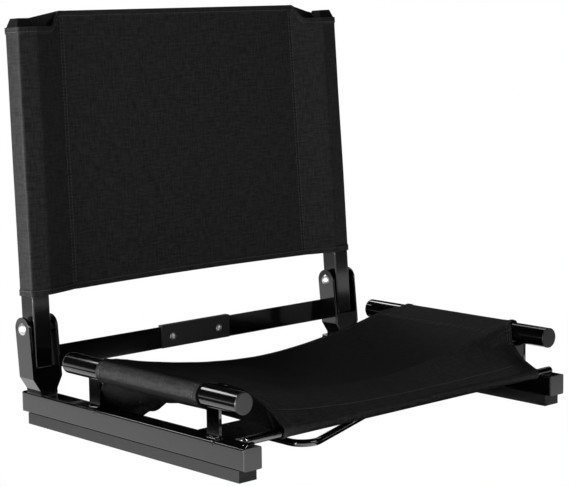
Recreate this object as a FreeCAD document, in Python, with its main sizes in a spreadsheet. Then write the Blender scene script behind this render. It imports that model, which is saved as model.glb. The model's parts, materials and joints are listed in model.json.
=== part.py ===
import FreeCAD, Part
import math
import os
import Sketcher
from FreeCAD import Placement, Rotation, Vector

# Folding stadium seat: two rails on rubber pads carry a canvas sling and a hinged canvas back.
# Frame: +Z up, front is -Y, origin on the floor under the middle of the whole seat, millimetres.

doc = FreeCAD.newDocument("StadiumSeat")
sheet = doc.addObject("Spreadsheet::Sheet", "Sizes")

# Driving sizes: alias, value, what it is
SIZES = [
    ("track", 514.0, "between the centre lines of the two rails"),
    ("rail_span", 416.8, "length of a rail over its end caps"),
    ("rail_mid_y", -5.74, "middle of the rails, ahead of the middle of the whole seat"),
    ("tube_side", 25.4, "side of the square tube"),
    ("tube_wall", 1.6, "wall of the square tube"),
    ("tube_corner", 2.0, "outer corner radius of the square tube"),
    ("least_corner", 0.3, "least corner radius inside the square tube"),
    ("cap_flange", 2.0, "thickness of a cap outside its tube"),
    ("cap_insert", 14.0, "depth of a cap inside its tube"),
    ("cap_gap", 0.2, "play between a cap and its tube"),
    ("top_cap_rise", 10.5, "height of an upright's top cap above its tube"),
    ("top_cap_inset", 3.6, "sides of an upright's top cap drawn in at its top"),
    ("pad_height", 13.9, "height of the rubber pad"),
    ("pad_front_inset", 9.0, "pad behind the front of its rail"),
    ("pad_rear_inset", 12.0, "pad ahead of the rear of its rail"),
    ("seat_tube_diameter", 25.4, "outside of the seat tube"),
    ("seat_tube_wall", 1.6, "wall of the seat tube"),
    ("seat_tube_span", 317.5, "length of a seat tube over its end caps"),
    ("seat_tube_setback", 12.9, "front of the seat tube behind the front of the rail"),
    ("seat_tube_rise", 46.3, "axis of the seat tube above the rail"),
    ("standoff_width", 21.2, "width of a standoff strap along the rail"),
    ("standoff_plate", 4.0, "thickness of a standoff strap"),
    ("front_standoff_inset", 51.1, "middle of the front standoff behind the front of the seat tube"),
    ("rear_standoff_inset", 49.1, "middle of the rear standoff ahead of the rear of the seat tube"),
    ("pivot_inset", 17.4, "back pivot ahead of the rear of the rail"),
    ("pivot_rise", 81.0, "back pivot above the rail"),
    ("back_lean", 3.3, "lean of the back at rest, degrees"),
    ("bracket_plate", 3.0, "thickness of the hinge bracket"),
    ("bracket_width", 29.0, "width of the hinge bracket"),
    ("bracket_slant", 8.0, "foot of the bracket ahead of the pivot"),
    ("joggle_low", 5.7, "start of the outward joggle above the rail"),
    ("joggle_high", 20.7, "end of the outward joggle above the rail"),
    ("stop_plate", 2.5, "thickness of the back stop"),
    ("stop_lap", 18.0, "back stop's overlap with the upright above its foot"),
    ("pin_diameter", 8.0, "shank of the hinge pin"),
    ("pin_head_diameter", 15.0, "domed head of the hinge pin"),
    ("pin_head_height", 3.5, "height of the hinge pin's head"),
    ("spacer_diameter", 17.0, "outside of the spacer rings on the hinge pin"),
    ("spacer_width", 5.5, "width of a spacer ring"),
    ("running_gap", 0.05, "radial play of a turning fit"),
    ("side_gap", 0.4, "play between faces that pass each other"),
    ("foot_rise", 16.2, "foot of the upright, over its cap, above the rail"),
    ("upright_reach", 377.7, "pivot up to the top of the upright, over its cap"),
    ("upright_draw", 5.0, "top of each upright drawn in towards the other by the canvas"),
    ("back_canvas_height", 346.0, "height of the back canvas between its seams"),
    ("back_canvas_rise", 8.1, "upper edge of the back canvas above the top of the upright"),
    ("back_sleeve_drop", 18.6, "upper edge of a back sleeve below that of the canvas between the seams"),
    ("back_sleeve", 70.0, "outer face of the upright to the seam of its sleeve"),
    ("canvas_cloth", 1.3, "thickness of the canvas"),
    ("canvas_gap", 0.35, "room between a sleeve and what it goes round"),
    ("seat_dip", 22.8, "middle of the sling below the seat tube axes"),
    ("sling_tail", 17.5, "rear edge of the sling behind its sleeves"),
    ("sleeve_front_gap", 3.0, "seat sleeve clear of each front standoff"),
    ("sleeve_rear_gap", 9.8, "seat sleeve clear of each rear standoff"),
    ("sling_inset", 17.0, "free edge of the sling inboard of the seat tube axis"),
    ("hem_left_inset", 38.3, "left end of the front hem inboard of the rail"),
    ("hem_right_inset", 16.3, "right end of the front hem inboard of the rail"),
    ("front_rod_diameter", 10.0, "diameter of the front rod"),
    ("front_rod_inset", 11.7, "end of the front rod inboard of the rail's outer face"),
    ("front_rod_round", 2.0, "rounding of the front rod's ends"),
    ("front_rod_setback", 12.4, "axis of the front rod behind the front of the rail"),
    ("cross_plate", 3.0, "thickness of the front cross plate"),
    ("cross_plate_width", 63.5, "width of the front cross plate"),
    ("cross_plate_setback", 43.4, "front of the cross plate behind the front of the rail"),
    ("brace_plate", 3.0, "thickness of a brace bar"),
    ("brace_height", 28.0, "height of a brace bar"),
    ("brace_rise", 24.7, "lower edge of the brace above the rail"),
    ("brace_inset", 2.0, "rear face of the brace ahead of the hinge bracket's rear edge at its height"),
    ("brace_split", 6.0, "gap between the two brace bars in the channel"),
    ("channel_plate", 2.0, "thickness of the brace channel"),
    ("channel_gap", 0.2, "play between the channel and the bars"),
    ("channel_length", 116.0, "length of the brace channel"),
    ("brace_rivet_inset", 18.5, "brace rivet inboard of the end of the channel"),
    ("rivet_diameter", 6.0, "shank of a brace rivet"),
    ("rivet_head_diameter", 10.5, "head of a brace rivet"),
    ("rivet_head_height", 2.6, "height of a brace rivet's head"),
    ("hook_diameter", 8.5, "diameter of the bench hook rod"),
    ("hook_top_gap", 2.05, "top of the hook's rod below the cross plate"),
    ("hook_inset", 18.0, "axis of the hook's pivot ahead of the rear of the cross plate"),
    ("hook_left_inset", 57.3, "left leg of the hook inboard of the left rail"),
    ("hook_span", 245.4, "between the hook's two legs along its pivot"),
    ("hook_reach", 101.1, "hook's front corner, unrounded, ahead of its pivot"),
    ("hook_stub_end", 2.0, "end of the hook's stub beyond its clip"),
    ("hook_nose", 20.0, "bend radius at the front of the hook"),
    ("hook_elbow", 14.0, "bend radius at the hook's stubs"),
    ("clip_plate", 1.5, "thickness of a hook clip"),
    ("clip_width", 12.0, "width of a hook clip along the stub"),
    ("clip_flange", 11.0, "flange of a hook clip on each side"),
    ("clip_clear", 2.0, "hook clip clear of the hook's bend"),
    ("clip_rivet_diameter", 4.0, "shank of a clip rivet"),
    ("clip_rivet_head_diameter", 7.5, "head of a clip rivet"),
    ("clip_rivet_head_height", 1.6, "height of a clip rivet's head"),
]

for row, (alias, value, note) in enumerate(SIZES, start=1):
    sheet.set(f"A{row}", note)
    sheet.set(f"B{row}", str(value))
    sheet.setAlias(f"B{row}", alias)
doc.recompute()


def size(alias):
    return float(sheet.get(alias))


# Heights and depths that several pieces share
half_track = size("track") / 2
half_side = size("tube_side") / 2
seat_tube_radius = size("seat_tube_diameter") / 2
rail_axis_z = size("pad_height") + half_side
rail_top_z = size("pad_height") + size("tube_side")
rail_front_y = size("rail_mid_y") - size("rail_span") / 2
rail_rear_y = size("rail_mid_y") + size("rail_span") / 2
seat_tube_z = rail_top_z + size("seat_tube_rise")
seat_tube_front_y = rail_front_y + size("seat_tube_setback")
seat_tube_rear_y = seat_tube_front_y + size("seat_tube_span")
front_standoff_y = seat_tube_front_y + size("front_standoff_inset")
rear_standoff_y = seat_tube_rear_y - size("rear_standoff_inset")
pivot_y = rail_rear_y - size("pivot_inset")
pivot_z = rail_top_z + size("pivot_rise")
lean = math.radians(size("back_lean"))
foot_drop = size("pivot_rise") - size("foot_rise")
arm_inside = half_side + size("side_gap") + size("spacer_width")
arm_outside = arm_inside + size("bracket_plate")
cloth = size("canvas_cloth")
front_rod_y = rail_front_y + size("front_rod_setback")
front_rod_z = rail_top_z + size("front_rod_diameter") / 2
rail_inner_x = half_track - half_side
cross_plate_front_y = rail_front_y + size("cross_plate_setback")
cross_plate_rear_y = cross_plate_front_y + size("cross_plate_width")
cross_plate_under_z = rail_top_z - size("cross_plate")
hook_y = cross_plate_rear_y - size("hook_inset")
hook_drop = size("hook_top_gap") + size("hook_diameter") / 2
hook_z = cross_plate_under_z - hook_drop
brace_drop = size("pivot_rise") - size("brace_rise") - size("brace_height") / 2
bracket_slope = size("bracket_slant") / size("pivot_rise")
bracket_rear_y = pivot_y + size("bracket_width") / 2 - bracket_slope * brace_drop
brace_rear_y = bracket_rear_y - size("brace_inset")
brace_low_z = rail_top_z + size("brace_rise")
draw = size("upright_draw") / size("upright_reach")

SIDES = {"left": -1, "right": 1}
ALONG_REAR = Rotation(Vector(1, 0, 0), -90)
ALONG_FRONT = Rotation(Vector(1, 0, 0), 90)
DOWNWARD = Rotation(Vector(1, 0, 0), 180)
LEANING = Rotation(Vector(1, 0, 0), -size("back_lean"))
NODES = []


def node(piece, place=None):
    if place is not None:
        piece.Placement = place
    NODES.append(piece)
    return piece


def new_body(label):
    body = doc.addObject("PartDesign::Body", label)
    body.Label = label
    return body


def new_sketch(body, name, plane, offset=0.0):
    sketch = body.newObject("Sketcher::SketchObject", f"{body.Name}_{name}")
    support = [item for item in body.Origin.OriginFeatures if item.Role == plane][0]
    sketch.AttachmentSupport = (support, [""])
    sketch.MapMode = "FlatFace"
    sketch.AttachmentOffset = Placement(Vector(0, 0, offset), Rotation())
    return sketch


def add_circle(sketch, radius, rule, centre=(0.0, 0.0)):
    # A circle whose radius follows the sheet; its centre is fixed where the pieces meet
    circle = sketch.addGeometry(Part.Circle(Vector(*centre, 0), Vector(0, 0, 1), radius), False)
    for kind, value in (("DistanceX", centre[0]), ("DistanceY", centre[1])):
        if abs(value) < 1e-9:
            axis = -2 if kind == "DistanceX" else -1
            sketch.addConstraint(Sketcher.Constraint("PointOnObject", circle, 3, axis))
        else:
            sketch.addConstraint(Sketcher.Constraint(kind, -1, 1, circle, 3, value))
    held = sketch.addConstraint(Sketcher.Constraint("Radius", circle, radius))
    sketch.setExpression(f"Constraints[{held}]", rule)


def add_rounded_square(sketch, side, corner, side_rule, corner_rule):
    half = side / 2
    flat = half - corner
    ends = [(-flat, -half, flat, -half), (half, -flat, half, flat),
            (flat, half, -flat, half), (-half, flat, -half, -flat)]
    lines = []
    for x1, y1, x2, y2 in ends:
        lines.append(sketch.addGeometry(Part.LineSegment(Vector(x1, y1, 0), Vector(x2, y2, 0)), False))
    centres = [(flat, -flat, 270), (flat, flat, 0), (-flat, flat, 90), (-flat, -flat, 180)]
    arcs = []
    for x, y, start in centres:
        circle = Part.Circle(Vector(x, y, 0), Vector(0, 0, 1), corner)
        arc = Part.ArcOfCircle(circle, math.radians(start), math.radians(start + 90))
        arcs.append(sketch.addGeometry(arc, False))
    for index in range(4):
        following = lines[(index + 1) % 4]
        sketch.addConstraint(Sketcher.Constraint("Tangent", lines[index], 2, arcs[index], 1))
        sketch.addConstraint(Sketcher.Constraint("Tangent", arcs[index], 2, following, 1))
    for index, kind in enumerate(("Horizontal", "Vertical", "Horizontal", "Vertical")):
        sketch.addConstraint(Sketcher.Constraint(kind, lines[index]))
    for arc in arcs[1:]:
        sketch.addConstraint(Sketcher.Constraint("Equal", arcs[0], arc))
    sketch.addConstraint(Sketcher.Constraint("Symmetric", arcs[0], 3, arcs[2], 3, -1, 1))
    rules = (("Radius", (arcs[0],), corner, corner_rule),
             ("DistanceX", (lines[3], 1, lines[1], 1), side, side_rule),
             ("DistanceY", (lines[0], 1, lines[2], 1), side, side_rule))
    for kind, picked, value, rule in rules:
        held = sketch.addConstraint(Sketcher.Constraint(kind, *picked, value))
        sketch.setExpression(f"Constraints[{held}]", rule)


def add_outline(sketch, points, arcs=()):
    # Closed outline through points; an arc {index: point on it} replaces the line that starts there
    arcs = dict(arcs)
    count = len(points)
    first = sketch.GeometryCount
    for index in range(count):
        start = Vector(*points[index], 0)
        end = Vector(*points[(index + 1) % count], 0)
        if index in arcs:
            sketch.addGeometry(Part.Arc(start, Vector(*arcs[index], 0), end), False)
        else:
            sketch.addGeometry(Part.LineSegment(start, end), False)
    for index in range(first, first + count):
        sketch.addConstraint(Sketcher.Constraint("Block", index))


def pad(body, sketch, rule, symmetric=False, reverse=False):
    feature = body.newObject("PartDesign::Pad", f"{sketch.Name}_pad")
    feature.Profile = sketch
    feature.setExpression("Length", rule)
    feature.SideType = "Symmetric" if symmetric else "One side"
    feature.Reversed = reverse
    return feature


def cut_through(body, sketch):
    doc.recompute()
    before = body.Shape.Volume
    feature = body.newObject("PartDesign::Pocket", f"{sketch.Name}_cut")
    feature.Profile = sketch
    feature.Type = "ThroughAll"
    feature.SideType = "Symmetric"
    doc.recompute()
    if body.Shape.Volume >= before:
        raise RuntimeError(f"{sketch.Name} cuts nothing")
    return feature


def round_rims(body, rule, above=-math.inf):
    # Rounds a body's circular edges that lie higher than above
    doc.recompute()
    base = body.Tip
    rims = [f"Edge{number}" for number, edge in enumerate(base.Shape.Edges, start=1)
            if edge.Closed and edge.BoundBox.ZMin > above]
    feature = body.newObject("PartDesign::Fillet", f"{body.Name}_rims")
    feature.Base = (base, rims)
    feature.setExpression("Radius", rule)


def square_tube(label, start, length_rule):
    # Tube along its own Z, from start upwards
    body = new_body(label)
    profile = new_sketch(body, "profile", "XY_Plane", start)
    add_rounded_square(profile, size("tube_side"), size("tube_corner"),
                       "Sizes.tube_side", "Sizes.tube_corner")
    add_rounded_square(profile, size("tube_side") - 2 * size("tube_wall"),
                       max(size("tube_corner") - size("tube_wall"), size("least_corner")),
                       "Sizes.tube_side - 2 * Sizes.tube_wall",
                       "max(Sizes.tube_corner - Sizes.tube_wall; Sizes.least_corner)")
    pad(body, profile, length_rule)
    return body


def square_cap(label, tapered=False):
    # Plug with its flange's inner face at its own origin, outwards along +Z; a tapered one has a raised top
    body = new_body(label)
    flange = new_sketch(body, "flange", "XY_Plane")
    add_rounded_square(flange, size("tube_side"), size("tube_corner"),
                       "Sizes.tube_side", "Sizes.tube_corner")
    if tapered:
        crown = new_sketch(body, "crown", "XY_Plane", size("top_cap_rise"))
        add_rounded_square(crown, size("tube_side") - 2 * size("top_cap_inset"), size("tube_corner"),
                           "Sizes.tube_side - 2 * Sizes.top_cap_inset", "Sizes.tube_corner")
        doc.recompute()
        taper = body.newObject("PartDesign::AdditiveLoft", f"{label}_taper")
        taper.Profile = flange
        taper.Sections = [crown]
        taper.Ruled = True
    else:
        pad(body, flange, "Sizes.cap_flange")
    insert = new_sketch(body, "insert", "XY_Plane")
    inset = size("tube_wall") + size("cap_gap")
    add_rounded_square(insert, size("tube_side") - 2 * inset,
                       max(size("tube_corner") - inset, size("least_corner")),
                       "Sizes.tube_side - 2 * (Sizes.tube_wall + Sizes.cap_gap)",
                       "max(Sizes.tube_corner - Sizes.tube_wall - Sizes.cap_gap; Sizes.least_corner)")
    pad(body, insert, "Sizes.cap_insert", reverse=True)
    return body


def round_tube(label):
    body = new_body(label)
    profile = new_sketch(body, "profile", "XY_Plane")
    add_circle(profile, seat_tube_radius, "Sizes.seat_tube_diameter / 2")
    add_circle(profile, seat_tube_radius - size("seat_tube_wall"),
               "Sizes.seat_tube_diameter / 2 - Sizes.seat_tube_wall")
    pad(body, profile, "Sizes.seat_tube_span - 2 * Sizes.cap_flange")
    return body


def round_cap(label):
    body = new_body(label)
    flange = new_sketch(body, "flange", "XY_Plane")
    add_circle(flange, seat_tube_radius, "Sizes.seat_tube_diameter / 2")
    pad(body, flange, "Sizes.cap_flange")
    insert = new_sketch(body, "insert", "XY_Plane")
    add_circle(insert, seat_tube_radius - size("seat_tube_wall") - size("cap_gap"),
               "Sizes.seat_tube_diameter / 2 - Sizes.seat_tube_wall - Sizes.cap_gap")
    pad(body, insert, "Sizes.cap_insert", reverse=True)
    round_rims(body, "Sizes.cap_flange / 2", size("cap_flange") / 2)
    return body


def rivet(label, shank, head, height, grip):
    # Rivet along its own X with a domed head at each end; grip is what it holds together
    body = new_body(label)
    profile = new_sketch(body, "profile", "XY_Plane")
    end = grip / 2
    ball = (head ** 2 + height ** 2) / (2 * height)
    swing = math.asin(head / ball) / 2
    crown_x = end + height - ball + ball * math.cos(swing)
    crown_y = ball * math.sin(swing)
    points = [(-end - height, 0), (-end, head), (-end, shank), (end, shank), (end, head), (end + height, 0)]
    add_outline(profile, points, {0: (-crown_x, crown_y), 4: (crown_x, crown_y)})
    turned = body.newObject("PartDesign::Revolution", f"{label}_turned")
    turned.Profile = profile
    turned.ReferenceAxis = (profile, ["H_Axis"])
    turned.Angle = 360
    return body


def group(label, pieces):
    bundle = doc.addObject("Part::Compound", label)
    bundle.Label = label
    bundle.Links = pieces
    return bundle


# Rails, their caps and pads
for name, hand in SIDES.items():
    x = hand * half_track
    rail = square_tube(f"{name}_rail", 0, "Sizes.rail_span - 2 * Sizes.cap_flange")
    node(rail, Placement(Vector(x, rail_front_y + size("cap_flange"), rail_axis_z), ALONG_REAR))
    node(square_cap(f"{name}_rail_front_cap"),
         Placement(Vector(x, rail_front_y + size("cap_flange"), rail_axis_z), ALONG_FRONT))
    node(square_cap(f"{name}_rail_rear_cap"),
         Placement(Vector(x, rail_rear_y - size("cap_flange"), rail_axis_z), ALONG_REAR))
    strip = doc.addObject("Part::Box", f"{name}_pad")
    strip.setExpression("Length", "Sizes.tube_side")
    strip.setExpression("Width", "Sizes.rail_span - Sizes.pad_front_inset - Sizes.pad_rear_inset")
    strip.setExpression("Height", "Sizes.pad_height")
    node(strip, Placement(Vector(x - half_side, rail_front_y + size("pad_front_inset"), 0), Rotation()))

# Seat tubes on their standoffs
for name, hand in SIDES.items():
    x = hand * half_track
    front = Vector(x, seat_tube_front_y + size("cap_flange"), seat_tube_z)
    rear = Vector(x, seat_tube_rear_y - size("cap_flange"), seat_tube_z)
    node(round_tube(f"{name}_seat_tube"), Placement(front, ALONG_REAR))
    node(round_cap(f"{name}_seat_tube_front_cap"), Placement(front, ALONG_FRONT))
    node(round_cap(f"{name}_seat_tube_rear_cap"), Placement(rear, ALONG_REAR))
    for end, middle_y in (("front", front_standoff_y), ("rear", rear_standoff_y)):
        label = f"{name}_{end}_standoff"
        strap = doc.addObject("Part::Box", f"{label}_strap")
        strap.setExpression("Length", "Sizes.standoff_plate")
        strap.setExpression("Width", "Sizes.standoff_width")
        strap.setExpression("Height", "Sizes.seat_tube_rise")
        strap.Placement.Base = Vector(x - size("standoff_plate") / 2,
                                      middle_y - size("standoff_width") / 2, rail_top_z)
        saddle = doc.addObject("Part::Cylinder", f"{label}_saddle")
        saddle.setExpression("Radius", "Sizes.seat_tube_diameter / 2")
        saddle.setExpression("Height", "Sizes.seat_tube_span")
        saddle.Placement = Placement(Vector(x, seat_tube_front_y, seat_tube_z), ALONG_REAR)
        standoff = doc.addObject("Part::Cut", label)
        standoff.Base = strap
        standoff.Tool = saddle
        node(standoff)


def bracket_inside(top):
    # Clear channel between the bracket's arms, up to a height above the rail
    foot = half_side - size("bracket_plate")
    right = [(foot, size("bracket_plate")), (foot, size("joggle_low")),
             (arm_inside, size("joggle_high")), (arm_inside, top)]
    left = [(-x, z) for x, z in reversed(right)]
    return [(x, z - size("pivot_rise")) for x, z in right + left]


def hinge_bracket(label):
    # Own origin on the pivot axis, midway between the arms
    body = new_body(label)
    half = size("bracket_width") / 2
    foot_z = -size("pivot_rise")
    side = new_sketch(body, "side", "YZ_Plane")
    foot_front = (-half - size("bracket_slant"), foot_z)
    foot_rear = (half - size("bracket_slant"), foot_z)
    add_outline(side, [foot_front, foot_rear, (half, 0), (-half, 0)], {2: (0, half)})
    pad(body, side, "Sizes.tube_side + 2 * (Sizes.side_gap + Sizes.spacer_width + Sizes.bracket_plate)",
        symmetric=True)
    inside = new_sketch(body, "inside", "XZ_Plane")
    add_outline(inside, bracket_inside(size("pivot_rise") + size("bracket_width")))
    cut_through(body, inside)
    outside = new_sketch(body, "outside", "XZ_Plane")
    beyond = 2 * arm_outside
    for hand in SIDES.values():
        waist = [(half_side, -1.0), (half_side, size("joggle_low")), (arm_outside, size("joggle_high")),
                 (beyond, size("joggle_high")), (beyond, -1.0)]
        add_outline(outside, [(hand * x, z + foot_z) for x, z in waist])
    cut_through(body, outside)
    hole = new_sketch(body, "hole", "YZ_Plane")
    add_circle(hole, size("pin_diameter") / 2 + size("running_gap"),
               "Sizes.pin_diameter / 2 + Sizes.running_gap")
    cut_through(body, hole)
    return body


# Back hinges: bracket, stop, pin and spacers
foot_corner_y = -half_side * math.cos(lean) - foot_drop * math.sin(lean)
for name, hand in SIDES.items():
    pivot = Vector(hand * half_track, pivot_y, pivot_z)
    node(hinge_bracket(f"{name}_hinge_bracket"), Placement(pivot, Rotation()))
    stop = new_body(f"{name}_back_stop")
    web = new_sketch(stop, "web", "XZ_Plane")
    add_outline(web, bracket_inside(size("foot_rise") + size("stop_lap")))
    pad(stop, web, "Sizes.stop_plate")
    node(stop, Placement(pivot + Vector(0, foot_corner_y - size("side_gap"), 0), Rotation()))
    pin = rivet(f"{name}_hinge_pin", size("pin_diameter") / 2, size("pin_head_diameter") / 2,
                size("pin_head_height"), 2 * arm_outside)
    node(pin, Placement(pivot, Rotation()))
    rings = []
    for end, outward in SIDES.items():
        label = f"{name}_hinge_spacer_{end}"
        disc = doc.addObject("Part::Cylinder", f"{label}_disc")
        disc.setExpression("Radius", "Sizes.spacer_diameter / 2")
        bore = doc.addObject("Part::Cylinder", f"{label}_bore")
        bore.setExpression("Radius", "Sizes.pin_diameter / 2 + Sizes.running_gap")
        for round_piece in (disc, bore):
            round_piece.setExpression("Height", "Sizes.spacer_width")
            start = half_side + size("side_gap") if outward > 0 else -arm_inside
            round_piece.Placement = Placement(pivot + Vector(start, 0, 0), Rotation(Vector(0, 1, 0), 90))
        ring = doc.addObject("Part::Cut", label)
        ring.Base = disc
        ring.Tool = bore
        rings.append(ring)
    node(group(f"{name}_hinge_spacers", rings))

# Uprights and their caps turn about the pivots; each upright is drawn in towards its top
for name, hand in SIDES.items():
    pivot = Vector(hand * half_track, pivot_y, pivot_z)
    drawn = hand * math.degrees(math.atan(draw))
    turn = LEANING.multiply(Rotation(Vector(0, 1, 0), -drawn))
    upright = square_tube(f"{name}_upright", size("cap_flange") - foot_drop,
                          "Sizes.upright_reach + Sizes.pivot_rise - Sizes.foot_rise"
                          " - Sizes.cap_flange - Sizes.top_cap_rise")
    pin_hole = new_sketch(upright, "pin_hole", "YZ_Plane")
    pin_hole.AttachmentOffset = Placement(Vector(), Rotation(Vector(1, 0, 0), drawn))
    add_circle(pin_hole, size("pin_diameter") / 2 + size("running_gap"),
               "Sizes.pin_diameter / 2 + Sizes.running_gap")
    cut_through(upright, pin_hole)
    node(upright, Placement(pivot, turn))
    top = Vector(0, 0, size("upright_reach") - size("top_cap_rise"))
    foot = Vector(0, 0, size("cap_flange") - foot_drop)
    node(square_cap(f"{name}_upright_top_cap", tapered=True), Placement(pivot + turn.multVec(top), turn))
    node(square_cap(f"{name}_upright_foot_cap"),
         Placement(pivot + turn.multVec(foot), turn.multiply(DOWNWARD)))

# Rear brace: two flat bars riveted into a channel
bar_length = half_track - arm_outside - size("brace_split") / 2
rivet_x = size("channel_length") / 2 - size("brace_rivet_inset")
rivet_rise = size("brace_height") / 2
rivet_z = brace_low_z + rivet_rise
for name, hand in SIDES.items():
    label = f"{name}_brace_bar"
    flat = doc.addObject("Part::Box", f"{label}_flat")
    flat.setExpression("Length", "(Sizes.track - Sizes.tube_side - Sizes.brace_split) / 2"
                                 " - Sizes.side_gap - Sizes.spacer_width - Sizes.bracket_plate")
    flat.setExpression("Width", "Sizes.brace_plate")
    flat.setExpression("Height", "Sizes.brace_height")
    inner_end = size("brace_split") / 2
    flat_x = inner_end if hand > 0 else -inner_end - bar_length
    flat.Placement.Base = Vector(flat_x, brace_rear_y - size("brace_plate"), brace_low_z)
    hole = doc.addObject("Part::Cylinder", f"{label}_hole")
    hole.setExpression("Radius", "Sizes.rivet_diameter / 2 + Sizes.running_gap")
    hole.setExpression("Height", "Sizes.brace_plate")
    hole.Placement = Placement(Vector(hand * rivet_x, brace_rear_y - size("brace_plate"), rivet_z),
                               ALONG_REAR)
    bar = doc.addObject("Part::Cut", label)
    bar.Base = flat
    bar.Tool = hole
    node(bar)

channel = new_body("brace_channel")
fold = new_sketch(channel, "fold", "YZ_Plane")
room = size("brace_plate") / 2 + size("channel_gap")
wall = room + size("channel_plate")
ceiling = size("brace_height") + size("channel_gap")
add_outline(fold, [(-wall, 0), (-room, 0), (-room, ceiling), (room, ceiling), (room, 0), (wall, 0),
                   (wall, ceiling + size("channel_plate")), (-wall, ceiling + size("channel_plate"))])
pad(channel, fold, "Sizes.channel_length", symmetric=True)
pierced = new_sketch(channel, "pierced", "XZ_Plane")
for hand in SIDES.values():
    add_circle(pierced, size("rivet_diameter") / 2 + size("running_gap"),
               "Sizes.rivet_diameter / 2 + Sizes.running_gap",
               (hand * rivet_x, rivet_rise))
cut_through(channel, pierced)
brace_middle_y = brace_rear_y - size("brace_plate") / 2
node(channel, Placement(Vector(0, brace_middle_y, brace_low_z), Rotation()))

studs = []
for name, hand in SIDES.items():
    stud = rivet(f"brace_rivet_{name}", size("rivet_diameter") / 2, size("rivet_head_diameter") / 2,
                 size("rivet_head_height"), 2 * wall)
    stud.Placement = Placement(Vector(hand * rivet_x, brace_middle_y, rivet_z),
                               Rotation(Vector(0, 0, 1), 90))
    studs.append(stud)
node(group("brace_rivets", studs))

# Front rod across the rails, inside the sling's hem
front_rod = new_body("front_rod")
section = new_sketch(front_rod, "section", "YZ_Plane")
add_circle(section, size("front_rod_diameter") / 2, "Sizes.front_rod_diameter / 2")
pad(front_rod, section, "Sizes.track + Sizes.tube_side - 2 * Sizes.front_rod_inset", symmetric=True)
round_rims(front_rod, "Sizes.front_rod_round")
node(front_rod, Placement(Vector(0, front_rod_y, front_rod_z), Rotation()))

# Cross plate with the hook's clips under it
clip_inside = size("hook_diameter") / 2 + size("running_gap")
clip_outside = clip_inside + size("clip_plate")
clip_rivet_y = clip_outside + size("clip_flange") / 2
clip_offset = size("hook_elbow") + size("clip_clear") + size("clip_width") / 2
hook_left_x = size("hook_left_inset") - rail_inner_x
hook_right_x = hook_left_x + size("hook_span")
clip_x = {"left": hook_left_x - clip_offset, "right": hook_right_x + clip_offset}
clip_hole_rule = "Sizes.clip_rivet_diameter / 2 + Sizes.running_gap"
clip_hole = size("clip_rivet_diameter") / 2 + size("running_gap")

plate = new_body("front_cross_plate")
blank = new_sketch(plate, "blank", "XY_Plane")
plate_front = cross_plate_front_y - hook_y
add_outline(blank, [(-rail_inner_x, plate_front), (rail_inner_x, plate_front),
                    (rail_inner_x, size("hook_inset")), (-rail_inner_x, size("hook_inset"))])
for x in clip_x.values():
    for y in (-clip_rivet_y, clip_rivet_y):
        add_circle(blank, clip_hole, clip_hole_rule, (x, y))
pad(plate, blank, "Sizes.cross_plate")
node(plate, Placement(Vector(0, hook_y, cross_plate_under_z), Rotation()))

for name, x in clip_x.items():
    clip = new_body(f"{name}_hook_clip")
    saddle = new_sketch(clip, "saddle", "YZ_Plane")
    flange_z = hook_drop
    under_z = flange_z - size("clip_plate")
    reach = clip_outside + size("clip_flange")
    add_outline(saddle, [(-reach, flange_z), (-reach, under_z), (-clip_outside, under_z), (-clip_outside, 0),
                         (clip_outside, 0), (clip_outside, under_z), (reach, under_z), (reach, flange_z),
                         (clip_inside, flange_z), (clip_inside, 0), (-clip_inside, 0),
                         (-clip_inside, flange_z)],
                {3: (0, -clip_outside), 9: (0, -clip_inside)})
    pad(clip, saddle, "Sizes.clip_width", symmetric=True)
    holes = new_sketch(clip, "holes", "XY_Plane", flange_z)
    for y in (-clip_rivet_y, clip_rivet_y):
        add_circle(holes, clip_hole, clip_hole_rule, (0.0, y))
    cut_through(clip, holes)
    node(clip, Placement(Vector(x, hook_y, hook_z), Rotation()))

studs = []
clip_grip = size("cross_plate") + size("clip_plate")
for name, x in clip_x.items():
    for end, y in (("front", -clip_rivet_y), ("rear", clip_rivet_y)):
        stud = rivet(f"hook_clip_rivet_{name}_{end}", size("clip_rivet_diameter") / 2,
                     size("clip_rivet_head_diameter") / 2, size("clip_rivet_head_height"), clip_grip)
        stud.Placement = Placement(Vector(x, hook_y + y, rail_top_z - clip_grip / 2),
                                   Rotation(Vector(0, 1, 0), 90))
        studs.append(stud)
node(group("hook_clip_rivets", studs))


def bent_route(sketch, corners, radii):
    # Straight runs joined by tangent arcs at the inner corners
    start = Vector(*corners[0], 0)
    for index, radius in enumerate(radii, start=1):
        corner = Vector(*corners[index], 0)
        back = (Vector(*corners[index - 1], 0) - corner).normalize()
        ahead = (Vector(*corners[index + 1], 0) - corner).normalize()
        half_angle = back.getAngle(ahead) / 2
        middle = (back + ahead).normalize()
        enter = corner + back * (radius / math.tan(half_angle))
        leave = corner + ahead * (radius / math.tan(half_angle))
        crest = corner + middle * (radius / math.sin(half_angle) - radius)
        sketch.addGeometry(Part.LineSegment(start, enter), False)
        sketch.addGeometry(Part.Arc(enter, crest, leave), False)
        start = leave
    sketch.addGeometry(Part.LineSegment(start, Vector(*corners[-1], 0)), False)
    for index in range(sketch.GeometryCount):
        sketch.addConstraint(Sketcher.Constraint("Block", index))


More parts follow.
